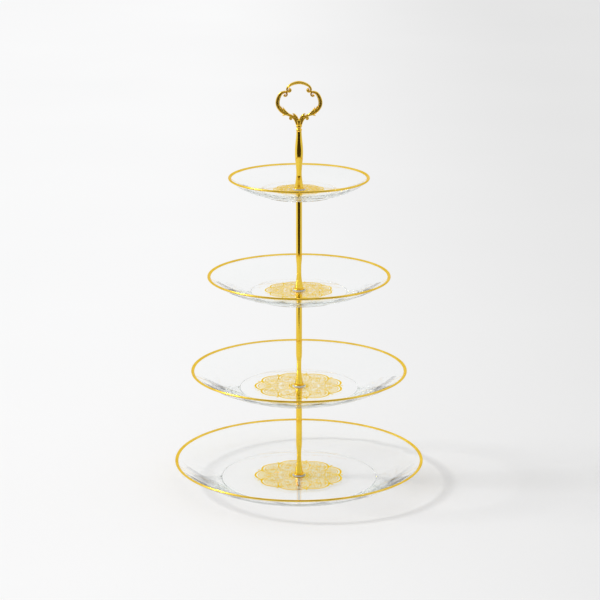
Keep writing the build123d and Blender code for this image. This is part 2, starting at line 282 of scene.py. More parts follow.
def rubber():
    mat = bpy.data.materials.new("black_rubber")
    nt, out = node_tree(mat)
    p = add(nt, "ShaderNodeBsdfPrincipled")
    tc = add(nt, "ShaderNodeTexCoord")
    n = add(nt, "ShaderNodeTexNoise", Scale=900.0, Detail=5.0)
    link(nt, tc, "Object", n, "Vector")
    col = ramp(nt, [(0.3, (0.016, 0.016, 0.017)), (0.7, (0.04, 0.04, 0.041))])
    link(nt, n, "Fac", col, "Fac")
    link(nt, col, "Color", p, "Base Color")
    r = add(nt, "ShaderNodeMapRange")
    r.inputs["To Min"].default_value = 0.5
    r.inputs["To Max"].default_value = 0.75
    link(nt, n, "Fac", r, "Value")
    link(nt, r, "Result", p, "Roughness")
    b = add(nt, "ShaderNodeBump", Strength=0.25, Distance=0.0002)
    link(nt, n, "Fac", b, "Height")
    link(nt, b, "Normal", p, "Normal")
    link(nt, p, "BSDF", out, "Surface")
    return mat


GLASS = clear_glass()
RIM_GOLD = gold("fired_rim_gold", (0.90, 0.635, 0.095), (0.79, 0.515, 0.055), rough=(0.15, 0.27), grain=1400.0, bump=0.04, edge=(1.0, 0.86, 0.45))
PRINT_GOLD = gold("printed_lace_gold", (0.97, 0.728, 0.058), (0.91, 0.655, 0.040), rough=(0.16, 0.26), grain=2600.0, bump=0.04, thin=0.75, edge=(1.0, 0.82, 0.23))
ROD_GOLD = gold("plated_column_gold", (0.92, 0.64, 0.075), (0.87, 0.58, 0.055), rough=(0.07, 0.12), grain=5200.0, bump=0.0012, lathe=True)
RING_GOLD = gold("cast_handle_gold", (0.92, 0.62, 0.085), (0.84, 0.53, 0.055), rough=(0.17, 0.27), grain=1500.0, bump=0.004)
SILICONE = silicone()
STEEL = steel()
RUBBER = rubber()

KEEP = {
    "gasket_": SILICONE, "support_seal_": SILICONE, "cup_washer_": ROD_GOLD, "rod_": ROD_GOLD,
    "stud_": STEEL, "base_screw": STEEL, "screw_seal": RUBBER, "handle_grip": ROD_GOLD,
}
for n, ob in nodes.items():
    for start, mat in KEEP.items():
        if n.startswith(start):
            ob.data.materials.clear()
            ob.data.materials.append(mat)


# ------------------------------------------------------------- glass plates
SEG = 360
FACETS = 18
TILT = math.radians(125.0)
LIP = 1.1
STEP = SEG // FACETS


def lip_centre(t):
    return (t["outer"] - 0.04 - 0.14 - LIP, t["rim_z"] + 0.3)


def lip_at(t, angle, radius):
    c = lip_centre(t)
    return (c[0] + radius * math.cos(angle), c[1] + radius * math.sin(angle))


def build_plate(name, t):
    fz, fr, base = t["floor"], t["foot"], t["base"]
    under = fz - 3.2
    inner_top = lip_at(t, TILT, LIP)
    outer_top = lip_at(t, TILT - math.pi, LIP)
    inner_wall = arc((fr + 1.0, fz + 0.12), inner_top, 3.1, 14)
    outer_wall = arc((fr, base + 0.7), outer_top, 2.4, 100)
    rng = random.Random(t["seed"])

    verts, faces = [], []

    def ring(points):
        first = len(verts)
        verts.extend(points)
        return list(range(first, len(verts)))

    def round_ring(r, z, n=SEG, shift=0.0):
        return ring([(r * math.cos(2 * math.pi * (i + shift) / n), r * math.sin(2 * math.pi * (i + shift) / n), z) for i in range(n)])

    def quads(a, b):
        n = len(a)
        for i in range(n):
            faces.append((a[i], a[(i + 1) % n], b[(i + 1) % n], b[i]))

    # inside, from the hole outwards, over the lip and a little way down the back
    profile = [(3.0, fz - 0.25), (3.25, fz), (3.5, fz), (4.2, fz), (fr - 14.0, fz), (fr - 3.0, fz), (fr - 0.6, fz + 0.02)]
    profile += inner_wall
    for k in range(1, 8):
        profile.append(lip_at(t, TILT - math.pi * k / 8, LIP))
    collar = outer_wall[93]
    profile += [outer_top, outer_wall[97], collar]
    rings = [round_ring(r, z) for r, z in profile]
    for a, b in zip(rings, rings[1:]):
        quads(a, b)

    # faceted back: rings of FACETS points, every other one half a step round
    def facet_ring(u, shift, proud, wander, slide):
        pts = []
        for k in range(FACETS):
            at = min(max(u + (rng.random() - 0.5) * 2 * slide, 0.0), 0.9)
            i = at * 100
            lo_, hi_ = outer_wall[int(i)], outer_wall[min(int(i) + 1, 100)]
            f = i - int(i)
            r = lo_[0] * (1 - f) + hi_[0] * f
            z = lo_[1] * (1 - f) + hi_[1] * f
            nxt = outer_wall[min(int(i) + 2, 100)]
            dr, dz = nxt[0] - lo_[0], nxt[1] - lo_[1]
            ln = math.hypot(dr, dz)
            r, z = r + dz / ln * proud, z - dr / ln * proud
            a = 2 * math.pi * (k + shift + (rng.random() - 0.5) * 2 * wander) / FACETS
            pts.append((r * math.cos(a), r * math.sin(a), z))
        return ring(pts)

    c = facet_ring(0.79, 0.0, 0.45, 0.10, 0.030)
    b = facet_ring(0.41, 0.5, 0.45, 0.12, 0.045)
    a = facet_ring(0.0, 0.0, 0.0, 0.10, 0.0)
    top = rings[-1]
    first_face = len(faces)
    for k in range(FACETS):
        k1 = (k + 1) % FACETS
        for j in range(-STEP // 2, STEP // 2):
            faces.append((top[(k * STEP + j) % SEG], top[(k * STEP + j + 1) % SEG], c[k]))
        half = top[(k * STEP + STEP // 2) % SEG]
        faces.append((half, c[k1], c[k]))
        faces.append((c[k], c[k1], b[k]))
        faces.append((b[k], c[k1], b[k1]))
        faces.append((b[k], b[k1], a[k1]))
        faces.append((a[k], b[k], a[k1]))

    # the pressed facets are shallow: the wall follows them part of the way only
    coarse = BVHTree.FromPolygons([Vector(v) for v in verts], faces[first_face:])
    del faces[first_face:]
    for v in sorted(c + b + a, reverse=True):
        verts.pop()
    last = rings[-1]
    rows = 54
    start = 0.90
    for m in range(1, rows + 1):
        u = start * (1 - m / rows)
        i = u * 100
        lo_, hi_ = outer_wall[int(i)], outer_wall[min(int(i) + 1, 100)]
        f = i - int(i)
        r = lo_[0] * (1 - f) + hi_[0] * f
        z = lo_[1] * (1 - f) + hi_[1] * f
        depth = (0.26 + 0.68 * math.exp(-(u / 0.10) ** 2)) * min(1.0, (start - u) / 0.10)
        pts = []
        for q in range(SEG):
            w = 2 * math.pi * q / SEG
            at = Vector((r * math.cos(w), r * math.sin(w), z))
            near = coarse.find_nearest(at)[0]
            pts.append(tuple(at.lerp(near, depth)))
        row = ring(pts)
        quads(last, row)
        last = row

    # flat base, the recess in its middle and the drilled hole
    foot_z = base

    def shrunk(row, d, z):
        out = []
        for i in row:
            x, y, _ = verts[i]
            r = math.hypot(x, y)
            out.append((x * (r - d) / r, y * (r - d) / r, z))
        return ring(out)

    low = [last, shrunk(last, 0.10, base + 0.35), shrunk(last, 0.32, base + 0.10), shrunk(last, 0.65, foot_z)]
    low += [round_ring(r, z) for r, z in (
        (fr - 1.0, foot_z), (fr - 2.0, foot_z), (14.0, foot_z), (11.1, foot_z), (10.7, foot_z), (10.3, foot_z + 0.12), (10.1, foot_z + 0.4), (9.8, under - 0.4), (9.6, under - 0.12), (9.2, under), (8.8, under), (3.9, under), (3.5, under), (3.25, under), (3.0, under + 0.25))]
    for p, q in zip(low, low[1:]):
        quads(p, q)
    quads(low[-1], rings[0])

    ob = mesh_object("glass_plate_" + name, verts, faces, t["body"], GLASS)
    face_outwards(ob)
    ob.data.set_sharp_from_angle(angle=math.radians(60))
    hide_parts("plate_" + name)
    return ob


# ----------------------------------------------------------- gilded rims
def build_rim(name, t):
    """Fired gold: a thin coat over the lip and a brushed band inside it."""
    n = 288
    inner_top = lip_at(t, TILT, LIP)
    outer_top = lip_at(t, TILT - math.pi, LIP)
    inner_wall = arc((t["foot"] + 1.0, t["floor"] + 0.12), inner_top, 3.1, 200)
    outer_wall = arc((t["foot"], t["base"] + 0.7), outer_top, 2.4, 200)
    rng = random.Random(t["seed"] + 100)
    phases = [(k, rng.random() * 6.283, rng.random()) for k in (5, 9, 16, 27, 44, 71)]

    def uneven(a, scale, off):
        return scale * sum(w * math.sin(k * a + p + off) / math.sqrt(k / 5) for k, p, w in phases)

    def walk(line, length):
        """Points back down a wall from the lip, for length."""
        pts, total = [line[-1]], 0.0
        for p, q in zip(line[::-1], line[::-1][1:]):
            step = math.dist(p, q)
            if total + step >= length:
                f = (length - total) / step
                pts.append((p[0] + (q[0] - p[0]) * f, p[1] + (q[1] - p[1]) * f))
                return pts
            total += step
            pts.append(q)
        return pts

    def even(pts, count):
        d = [0.0]
        for p, q in zip(pts, pts[1:]):
            d.append(d[-1] + math.dist(p, q))
        out = []
        for s in np.linspace(0, d[-1], count):
            i = min(int(np.searchsorted(d, s, side="right")) - 1, len(pts) - 2)
            f = (s - d[i]) / (d[i + 1] - d[i]) if d[i + 1] > d[i] else 0
            out.append((pts[i][0] + (pts[i + 1][0] - pts[i][0]) * f, pts[i][1] + (pts[i + 1][1] - pts[i][1]) * f))
        return out

    over = [lip_at(t, TILT - math.pi * k / 12, LIP) for k in range(13)]
    verts, faces = [], []
    count = 17
    for i in range(n):
        a = 2 * math.pi * i / n
        w_in = 2.35 + uneven(a, 0.11, 0.0)
        w_out = 0.75 + uneven(a, 0.10, 2.1)
        inside = even(walk(inner_wall, w_in), 5)[::-1]
        outside = even(walk(outer_wall, max(w_out, 0.15)), 3)
        line = inside[:-1] + over + outside[1:]
        line = even(line, count)
        section = []
        for gap, order in ((0.13, range(count)), (0.025, range(count - 1, -1, -1))):
            for j in order:
                p = line[max(j - 1, 0)]
                q = line[min(j + 1, count - 1)]
                dr, dz = q[0] - p[0], q[1] - p[1]
                ln = math.hypot(dr, dz)
                edge = min(j, count - 1 - j)
                g = gap if gap < 0.05 else 0.05 + (gap - 0.05) * min(1.0, (edge + 0.4) / 2.0)
                r, z = line[j][0] - dz / ln * g, line[j][1] + dr / ln * g
                section.append((r * math.cos(a), r * math.sin(a), z))
        verts.extend(section)
    m = 2 * count
    for i in range(n):
        p, q = i * m, ((i + 1) % n) * m
        for j in range(m):
            j1 = (j + 1) % m
            faces.append((p + j, q + j, q + j1, p + j1))
    ob = mesh_object("gold_rim_" + name, verts, faces, t["body"], RIM_GOLD)
    face_outwards(ob)
    ob.data.set_sharp_from_angle(angle=math.radians(50))
    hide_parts("rim_gilding_" + name)
    return ob


# ------------------------------------------------------------- lace prints
def spiral(cx, cy, a0, a1, r0, r1, n=26):
    out = []
    for k in range(n + 1):
        f = k / n
        a = math.radians(a0 + (a1 - a0) * f)
        r = r0 + (r1 - r0) * f
        out.append((cx + r * math.cos(a), cy + r * math.sin(a)))
    return out


def polar(r, deg):
    return (r * math.cos(math.radians(deg)), r * math.sin(math.radians(deg)))


def curve_through(pts, n=12):
    """Catmull-Rom through the points."""
    pts = [np.array(p, float) for p in pts]
    ext = [2 * pts[0] - pts[1]] + pts + [2 * pts[-1] - pts[-2]]
    out = []
    for i in range(1, len(ext) - 2):
        p0, p1, p2, p3 = ext[i - 1:i + 3]
        for k in range(n):
            u = k / n
            out.append(0.5 * (2 * p1 + (p2 - p0) * u + (2 * p0 - 5 * p1 + 4 * p2 - p3) * u * u + (3 * p1 - p0 - 3 * p2 + p3) * u ** 3))
    out.append(pts[-1])
    return [tuple(p) for p in out]


LOBE_AT = 0.62


def lace_lines():
    """Lines of one half sector, 0 to 20 degrees, on a print of radius 1. Zero is
    the notch between two scallops and 20 the middle of a scallop. Each entry is
    (points, half width at the start, half width at the end)."""
    cx, cy = polar(LOBE_AT, 20)
    lines = []
    fine = 0.0058
    # bold scallop, its arc carried on inside the neighbours, and a finer twin
    lines.append((spiral(cx, cy, -33.5, 73.5, 0.3615, 0.3615, 40), 0.0205, 0.0205))
    lines.append((spiral(cx, cy, -33.5, -108, 0.3615, 0.350, 36), 0.0165, 0.0085))
    lines.append((spiral(cx, cy, 73.5, 148, 0.3615, 0.350, 36), 0.0165, 0.0085))
    lines.append((spiral(cx, cy, -24, 64, 0.291, 0.291, 50), 0.0105, 0.0105))
    lines.append((spiral(cx, cy, -24, -80, 0.291, 0.283, 30), 0.0105, 0.006))
    lines.append((spiral(cx, cy, 64, 120, 0.291, 0.283, 30), 0.0105, 0.006))
    # stem and ball at the notch
    lines.append(([polar(0.865, 0), polar(0.955, 0)], 0.0145, 0.0105))
    lines.append(([polar(0.966, 0), polar(0.968, 0)], 0.023, 0.023))
    lines.append((curve_through([polar(0.79, 0), polar(0.755, 3.0), polar(0.705, 2.8), polar(0.68, 0)]), fine, fine))
    # a spray of leaves inside each scallop
    fx, fy = polar(0.64, 20)
    for a, ln in ((0, 0.222), (38, 0.215), (76, 0.180)):
        tip = math.radians(20 - a)
        for off in (-17, 17):
            side = math.radians(20 - a + off)
            lines.append((curve_through([(fx + 0.070 * math.cos(tip), fy + 0.070 * math.sin(tip)),
                                         (fx + 0.62 * ln * math.cos(side), fy + 0.62 * ln * math.sin(side)),
                                         (fx + ln * math.cos(tip), fy + ln * math.sin(tip))]), fine, fine))
    lines.append((spiral(fx, fy, 0, 360, 0.052, 0.052, 26), fine, fine))
    lines.append((spiral(fx, fy, 0, 360, 0.012, 0.012, 12), 0.012, 0.012))
    # scrolls between the crossing arcs
    lines.append((spiral(*polar(0.520, 5.2), 200, -220, 0.050, 0.012), fine, fine * 1.2))
    lines.append((spiral(*polar(0.390, 7.0), 200, -220, 0.052, 0.012), fine, fine * 1.2))
    lines.append((spiral(*polar(0.475, 15.8), 20, 430, 0.048, 0.012), fine, fine * 1.2))
    lines.append((curve_through([polar(0.615, 0), polar(0.58, 1.9), polar(0.50, 1.2), polar(0.45, 0)]), fine, fine))
    lines.append(([polar(0.300, a) for a in np.linspace(-2, 22, 9)], 0.0105, 0.0105))
    # inner rosette
    lines.append((curve_through([polar(0.165, 0), polar(0.20, 7.5), polar(0.24, 12), polar(0.290, 20)]), fine, fine))
    lines.append((curve_through([polar(0.165, 20), polar(0.20, 13), polar(0.24, 8), polar(0.290, 0)]), fine, fine))
    return lines


def segments_of(lines):
    a, b, w0, w1 = [], [], [], []
    for pts, s, e in lines:
        n = len(pts) - 1
        for k in range(n):
            a.append(pts[k])
            b.append(pts[k + 1])
            w0.append(s + (e - s) * k / n)
            w1.append(s + (e - s) * (k + 1) / n)
    a, b, w0, w1 = map(np.array, (a, b, w0, w1))
    # copies mirrored in both sides of the half sector
    def mirror(p, deg):
        c, s = math.cos(2 * math.radians(deg)), math.sin(2 * math.radians(deg))
        return p @ np.array([[c, s], [s, -c]])
    return (np.vstack([a, mirror(a, 0), mirror(a, 20)]), np.vstack([b, mirror(b, 0), mirror(b, 20)]),
            np.tile(w0, 3), np.tile(w1, 3))


def field(points, segs):
    """Signed distance to the drawn lines, below 0 inside a line."""
    a, b, w0, w1 = segs
    out = np.full(len(points), 9.0)
    d = b - a
    l2 = np.maximum((d ** 2).sum(1), 1e-12)
    for at in range(0, len(points), 1500):
        p = points[at:at + 1500]
        rel = p[:, None, :] - a[None]
        u = np.clip((rel * d[None]).sum(2) / l2[None], 0, 1)
        gap = np.sqrt(((rel - u[..., None] * d[None]) ** 2).sum(2))
        out[at:at + 1500] = (gap - (w0 + (w1 - w0) * u)).min(1)
    return out


def fill_gaps(lines):
    """Small curls, buds and dots where the drawing leaves bare glass."""
    rng = random.Random(5)
    cx, cy = polar(LOBE_AT, 20)
    lines = list(lines)
    for size, most, tries in ((0.050, 26, 800), (0.036, 40, 1500)):
        segs = segments_of(lines)
        pts = []
        while len(pts) < tries:
            r = math.sqrt(rng.random()) * 0.99
            x, y = polar(r, rng.random() * 20)
            if r > 0.17 and (math.hypot(x - cx, y - cy) < 0.280 or r < 0.60):
                pts.append((x, y))
        room = field(np.array(pts), segs)
        placed = []
        for i in np.argsort(-room):
            if room[i] < size * 0.60 or len(placed) >= most:
                break
            x, y = pts[i]
            if any(math.hypot(x - q[0], y - q[1]) < (room[i] + q[2]) * 0.92 for q in placed):
                continue
            placed.append((x, y, room[i]))
            big = min(room[i], size * 1.3) * 0.66
            a0 = rng.random() * 360
            kind = rng.random()
            if kind < 0.66 and big > 0.013:
                turn = 400 if rng.random() < 0.5 else -400
                lines.append((spiral(x, y, a0, a0 + turn * 0.8, big, 0.006, 18), 0.0055, 0.0070))
            elif kind < 0.85 and big > 0.009:
                u = math.radians(a0)
                lines.append(([(x - big * math.cos(u), y - big * math.sin(u)), (x + big * math.cos(u), y + big * math.sin(u))], 0.005, min(0.012, big * 0.6)))
            else:
                lines.append(([(x, y), (x + 0.001, y)], min(0.014, big * 0.7), min(0.014, big * 0.7)))
    return lines


def lace_grid():
    segs = segments_of(fill_gaps(lace_lines()))
    cells = 120
    axis = np.linspace(-1.004, 1.004, 2 * cells + 1)
    gx, gy = np.meshgrid(axis, axis, indexing="ij")
    flat = np.stack([gx.ravel(), gy.ravel()], 1)
    r = np.hypot(flat[:, 0], flat[:, 1])
    a = np.degrees(np.arctan2(flat[:, 1], flat[:, 0])) % 40.0
    a = np.where(a > 20, 40 - a, a)
    folded = np.stack([r * np.cos(np.radians(a)), r * np.sin(np.radians(a))], 1)
    values = np.full(len(flat), 1.0)
    near = (r > 0.12) & (r < 1.01)
    values[near] = field(folded[near], segs)
    return axis, r, values


LACE = lace_grid()


def build_lace(name, t):
    axis, r, lines = LACE
    n = len(axis)
    size = t["print_r"]
    hole = 8.6 / size
    ring_line = np.abs(r - (hole + 0.55 / size)) - 0.55 / size
    values = np.minimum(lines, ring_line)
    values = np.maximum(values, hole - r)
    values = np.where(np.abs(values) < 1e-5, 1e-5, values)
    idx = np.arange(n * n).reshape(n, n)
    corners = [idx[:-1, :-1].ravel(), idx[1:, :-1].ravel(), idx[1:, 1:].ravel(), idx[:-1, 1:].ravel()]
    inside = np.stack([values[c] < 0 for c in corners], 1)
    whole = inside.all(1)
    partly = inside.any(1) & ~whole
    x = np.repeat(axis, n)
    y = np.tile(axis, n)
    verts, index, polys = [], {}, []

    def corner(i):
        key = (i, -1)
        if key not in index:
            index[key] = len(verts)
            verts.append((x[i], y[i]))
        return index[key]

    def cut(i, j):
        key = (i, j) if i < j else (j, i)
        if key not in index:
            f = values[i] / (values[i] - values[j])
            f = min(max(f, 0.04), 0.96)
            index[key] = len(verts)
            verts.append((x[i] + (x[j] - x[i]) * f, y[i] + (y[j] - y[i]) * f))
        return index[key]

    stack = np.stack(corners, 1)
    for q in stack[whole]:
        polys.append(tuple(corner(int(i)) for i in q))
    for q in stack[partly]:
        q = [int(i) for i in q]
        for tri in ((q[0], q[1], q[2]), (q[0], q[2], q[3])):
            ins = [values[i] < 0 for i in tri]
            k = sum(ins)
            if k == 3:
                polys.append(tuple(corner(i) for i in tri))
            elif k:
                poly = []
                for m in range(3):
                    i, j = tri[m], tri[(m + 1) % 3]
                    if ins[m]:
                        poly.append(corner(i))
                    if ins[m] != ins[(m + 1) % 3]:
                        poly.append(cut(i, j))
                polys.append(tuple(poly))
    # closed strip: top, underside and the edge between them
    count = {}
    for p in polys:
        for i, j in zip(p, p[1:] + p[:1]):
            count[(i, j)] = count.get((i, j), 0) + 1
    z0, z1 = t["floor"] + 0.03, t["floor"] + 0.13
    m = len(verts)
    full = [(px * size, py * size, z1) for px, py in verts] + [(px * size, py * size, z0) for px, py in verts]
    faces = list(polys) + [tuple(i + m for i in reversed(p)) for p in polys]
    for (i, j) in count:
        if (j, i) not in count:
            faces.append((j, i, i + m, j + m))
    ob = mesh_object("lace_print_" + name, full, faces, t["body"], PRINT_GOLD)
    ob.data.set_sharp_from_angle(angle=math.radians(35))
    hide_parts("medallion_" + name)
    return ob


for name, t in TIERS.items():
    build_plate(name, t)
    build_rim(name, t)
    build_lace(name, t)


# ------------------------------------------------------------ handle ring
# Centre lines in the XZ plane, left half; the right half is its mirror image.
def resample(pts, widths, step=0.45):
    pts = [np.array(p, float) for p in pts]
    ext = [2 * pts[0] - pts[1]] + pts + [2 * pts[-1] - pts[-2]]
    wx = [2 * widths[0] - widths[1]] + list(widths) + [2 * widths[-1] - widths[-2]]
    out, ws = [], []
    for i in range(1, len(ext) - 2):
        p0, p1, p2, p3 = ext[i - 1:i + 3]
        w1, w2 = wx[i], wx[i + 1]
        n = max(2, int(math.ceil(np.hypot(*(p2 - p1)) / step)))
        for k in range(n):
            u = k / n
            out.append(0.5 * (2 * p1 + (p2 - p0) * u + (2 * p0 - 5 * p1 + 4 * p2 - p3) * u * u + (3 * p1 - p0 - 3 * p2 + p3) * u ** 3))
            s = u * u * (3 - 2 * u)
            ws.append(w1 * (1 - s) + w2 * s)
    out.append(pts[-1])
    ws.append(widths[-1])
    return out, ws


ring_parts = []


def strap(pts, widths, depth, grooves=(), crown=0.75, sides=40, mirrored=True):
    """Swept band: widths are half widths in the plane, depth the half depth (a
    number or one per point). Grooves are (place, depth, spread) across it."""
    line, ws = resample(pts, widths)
    n = len(line)
    dep = [depth] * len(pts) if not isinstance(depth, (list, tuple)) else list(depth)
    pos = np.linspace(0, 1, len(pts))
    dep = np.interp(np.linspace(0, 1, n), pos, dep)
    for flip in ((1, -1) if mirrored else (1,)):
        verts, faces = [], []
        for i in range(n):
            a, b = line[max(i - 1, 0)], line[min(i + 1, n - 1)]
            d = b - a
            d = d / max(np.hypot(*d), 1e-9)
            nx, nz = -d[1], d[0]
            for k in range(sides):
                psi = 2 * math.pi * k / sides
                c, s = math.cos(psi), math.sin(psi)
                across = ws[i] * c
                out = abs(s) ** crown
                for place, deep, spread in grooves:
                    out -= deep * math.exp(-((c - place) / spread) ** 2) * min(1.0, abs(s) * 1.6)
                y = math.copysign(max(out, 0.12) if abs(s) > 0.3 else max(out, 0.0), s) * dep[i]
                verts.append((flip * (line[i][0] + nx * across), y, line[i][1] + nz * across))
        first = len(verts)
        verts.append((flip * line[0][0], 0.0, line[0][1]))
        verts.append((flip * line[-1][0], 0.0, line[-1][1]))
        for i in range(n - 1):
            for k in range(sides):
                k1 = (k + 1) % sides
                faces.append((i * sides + k, i * sides + k1, (i + 1) * sides + k1, (i + 1) * sides + k))
        for k in range(sides):
            k1 = (k + 1) % sides
            faces.append((first, k1, k))
            faces.append((first + 1, (n - 1) * sides + k, (n - 1) * sides + k1))
        ring_parts.append((verts, faces))


def ball(x, z, r, ry, mirrored=True):
    for flip in ((1, -1) if mirrored else (1,)):
        verts, faces = [(flip * x, 0, z + r)], []
        rows, cols = 14, 24
        for i in range(1, rows):
            th = math.pi * i / rows
            for k in range(cols):
                ph = 2 * math.pi * k / cols
                verts.append((flip * (x + r * math.sin(th) * math.cos(ph)), ry * math.sin(th) * math.sin(ph), z + r * math.cos(th)))
        verts.append((flip * x, 0, z - r))
        for k in range(cols):
            faces.append((0, 1 + k, 1 + (k + 1) % cols))
            last = 1 + (rows - 2) * cols
            faces.append((len(verts) - 1, last + (k + 1) % cols, last + k))
        for i in range(rows - 2):
            for k in range(cols):
                p, q = 1 + i * cols, 1 + (i + 1) * cols
                faces.append((p + k, q + k, q + (k + 1) % cols, p + (k + 1) % cols))
        ring_parts.append((verts, faces))


def turned(profile, sides=64):
    verts, faces = [], []
    for r, z in profile:
        for k in range(sides):
            a = 2 * math.pi * k / sides
            verts.append((r * math.cos(a), r * math.sin(a), z))
    n = len(profile)
    verts += [(0, 0, profile[0][1]), (0, 0, profile[-1][1])]
    for i in range(n - 1):
        for k in range(sides):
            k1 = (k + 1) % sides
            faces.append((i * sides + k, i * sides + k1, (i + 1) * sides + k1, (i + 1) * sides + k))
    for k in range(sides):
        k1 = (k + 1) % sides
        faces.append((n * sides, k1, k))
        faces.append((n * sides + 1, (n - 1) * sides + k, (n - 1) * sides + k1))
    ring_parts.append((verts, faces))


def curl(cx, cz, a0, a1, r0, r1, w0, w1, n=14):
    pts, ws = [], []
    for k in range(n + 1):
        f = k / n
        a = math.radians(a0 + (a1 - a0) * f)
        r = r0 + (r1 - r0) * f ** 0.85
        pts.append((cx + r * math.cos(a), cz + r * math.sin(a)))
        ws.append(w0 + (w1 - w0) * f)
    return pts, ws


grip_lo, grip_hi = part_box("handle_grip")
ring_lo, ring_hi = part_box("handle_ring")
lift = ring_hi.z / MM - 493.81
HALF_T = (ring_hi.y - ring_lo.y) / 2 / MM if (ring_hi.y - ring_lo.y) / 2 / MM < 2.4 else 2.1

# top bow, one piece from curl to curl
half_bow = [(-14.3, 482.6), (-13.3, 485.6), (-11.0, 488.1), (-7.5, 490.1), (-3.4, 491.35)]
bow = half_bow + [(0.0, 491.7)] + [(-x, z) for x, z in half_bow[::-1]]
bow_w = [1.15, 1.35, 1.55, 1.75, 1.9, 1.95, 1.9, 1.75, 1.55, 1.35, 1.15]
strap(bow, bow_w, 1.9, grooves=((0.18, 0.42, 0.17),), mirrored=False)
pts, ws = curl(-11.35, 483.0, 186, 455, 2.75, 1.55, 1.15, 0.72)
strap(pts, ws, 1.75, grooves=())
ball(-11.35, 483.0, 1.15, 1.95)

# side lobes, from their curls down to the stem
pts, ws = curl(-16.6, 477.5, -150, 62, 1.5, 3.0, 0.65, 1.1)
lobe = pts[:-1] + [(-16.0, 480.75), (-18.25, 480.25), (-20.95, 478.75), (-23.15, 475.45), (-24.6, 471.7), (-25.15, 467.6), (-24.25, 463.3), (-21.75, 459.35), (-18.3, 456.1), (-14.3, 454.3), (-10.3, 452.9), (-7.0, 450.9), (-4.3, 447.7), (-2.9, 444.3), (-2.2, 441.6), (-2.0, 439.6)]
lobe_w = ws[:-1] + [1.25, 1.6, 1.95, 2.25, 2.4, 2.45, 2.35, 2.15, 1.9, 1.7, 1.65, 1.7, 1.75, 1.65, 1.35, 1.1]
lobe_d = [1.6] * (len(ws) - 1) + [1.8, 1.9, 2.0, 2.0, 2.0, 2.0, 2.0, 1.95, 1.8, 1.8, 1.8, 1.85, 1.9, 1.9, 1.9, 1.9]
strap(lobe, lobe_w, lobe_d, grooves=((0.02, 0.70, 0.20), (0.72, 0.30, 0.12)))
ball(-16.6, 477.5, 1.05, 1.85)

# acanthus leaves laid over the lower lobe, a spur below it
strap([(-13.4, 454.6), (-17.2, 457.2), (-20.0, 460.3), (-21.5, 464.9)], [1.1, 1.35, 1.05, 0.12], [1.6, 2.05, 2.05, 0.9], grooves=((0.0, 0.30, 0.16),), crown=1.1)
strap([(-12.2, 454.2), (-15.6, 456.9), (-17.7, 459.9), (-18.9, 463.7)], [1.0, 1.15, 0.85, 0.12], [1.6, 2.05, 2.0, 0.9], grooves=((0.0, 0.28, 0.16),), crown=1.1)
strap([(-11.0, 453.7), (-14.0, 456.2), (-15.9, 458.5), (-17.0, 461.0)], [0.9, 0.95, 0.65, 0.12], [1.5, 1.95, 1.9, 0.9], grooves=((0.0, 0.25, 0.16),), crown=1.1)
strap([(-13.2, 454.4), (-15.6, 453.9), (-17.9, 453.2), (-19.9, 452.1)], [1.2, 1.1, 0.75, 0.12], [1.6, 1.7, 1.4, 0.6], crown=1.0)

# inner leaves of the fork and the hanging curls
strap([(-7.7, 455.5), (-5.6, 453.9), (-3.4, 451.5), (-1.9, 448.6), (-1.25, 445.3), (-1.1, 441.8)], [0.18, 1.25, 1.45, 1.35, 1.15, 0.95], [0.8, 1.9, 2.05, 2.05, 2.0, 2.0], grooves=((0.05, 0.5, 0.2),), crown=0.9)
pts, ws = curl(-9.35, 449.3, 78, 330, 2.0, 1.15, 0.95, 0.6)
strap([(-4.9, 450.0), (-6.6, 451.1)] + pts, [0.9, 1.05] + ws, 1.55)
ball(-9.2, 449.3, 1.25, 1.8)

# stem, double bead and the spigot inside the grip
gt = grip_hi.z / MM
turned([(1.45, gt - 8.9), (1.45, gt - 0.02), (3.0, gt + 0.02), (3.12, gt + 0.5), (3.12, gt + 0.9), (3.3, gt + 1.3), (3.5, gt + 2.0), (3.55, gt + 2.6), (3.45, gt + 3.3),
        (3.0, gt + 3.8), (2.35, gt + 4.15), (2.3, gt + 4.75), (2.9, gt + 5.1), (3.4, gt + 5.7), (3.62, gt + 6.6), (3.62, gt + 7.3), (3.4, gt + 8.1), (2.9, gt + 8.6), (2.4, gt + 8.9), (2.45, gt + 9.8), (2.6, gt + 11.0), (2.3, gt + 13.5), (1.5, gt + 15.5)])

verts, faces = [], []
for v, f in ring_parts:
    k = len(verts)
    verts += [(x, y, z + lift) if z > gt + 5 else (x, y, z) for x, y, z in v]
    faces += [tuple(i + k for i in p) for p in f]
rough_ring = bpy.data.meshes.new("rough_ring")
rough_ring.from_pydata(verts, [], faces)
bm = bmesh.new()
bm.from_mesh(rough_ring)
islands = set()
bmesh.ops.recalc_face_normals(bm, faces=bm.faces)
bm.to_mesh(rough_ring)
bm.free()
tmp = bpy.data.objects.new("rough_ring", rough_ring)
bpy.context.scene.collection.objects.link(tmp)
rm = tmp.modifiers.new("fuse", "REMESH")
rm.mode = "VOXEL"
rm.voxel_size = 0.19
rm.use_smooth_shade = True
sm = tmp.modifiers.new("ease", "SMOOTH")
sm.factor = 0.5
sm.iterations = 2
bpy.context.view_layer.update()
dg = bpy.context.evaluated_depsgraph_get()
fused = bpy.data.meshes.new_from_object(tmp.evaluated_get(dg), depsgraph=dg)
fused.name = "scroll_ring"
bpy.data.objects.remove(tmp)
co = np.zeros(len(fused.vertices) * 3, np.float32)
fused.vertices.foreach_get("co", co)
co = co.reshape(-1, 3)
lo_mm = np.array([ring_lo.x, ring_lo.y, ring_lo.z]) / MM
hi_mm = np.array([ring_hi.x, ring_hi.y, ring_hi.z]) / MM
co = np.clip(co, lo_mm, hi_mm) * MM
fused.vertices.foreach_set("co", co.astype(np.float32).ravel())
fused.materials.clear()
fused.materials.append(RING_GOLD)
fused.update()
fused.shade_smooth()
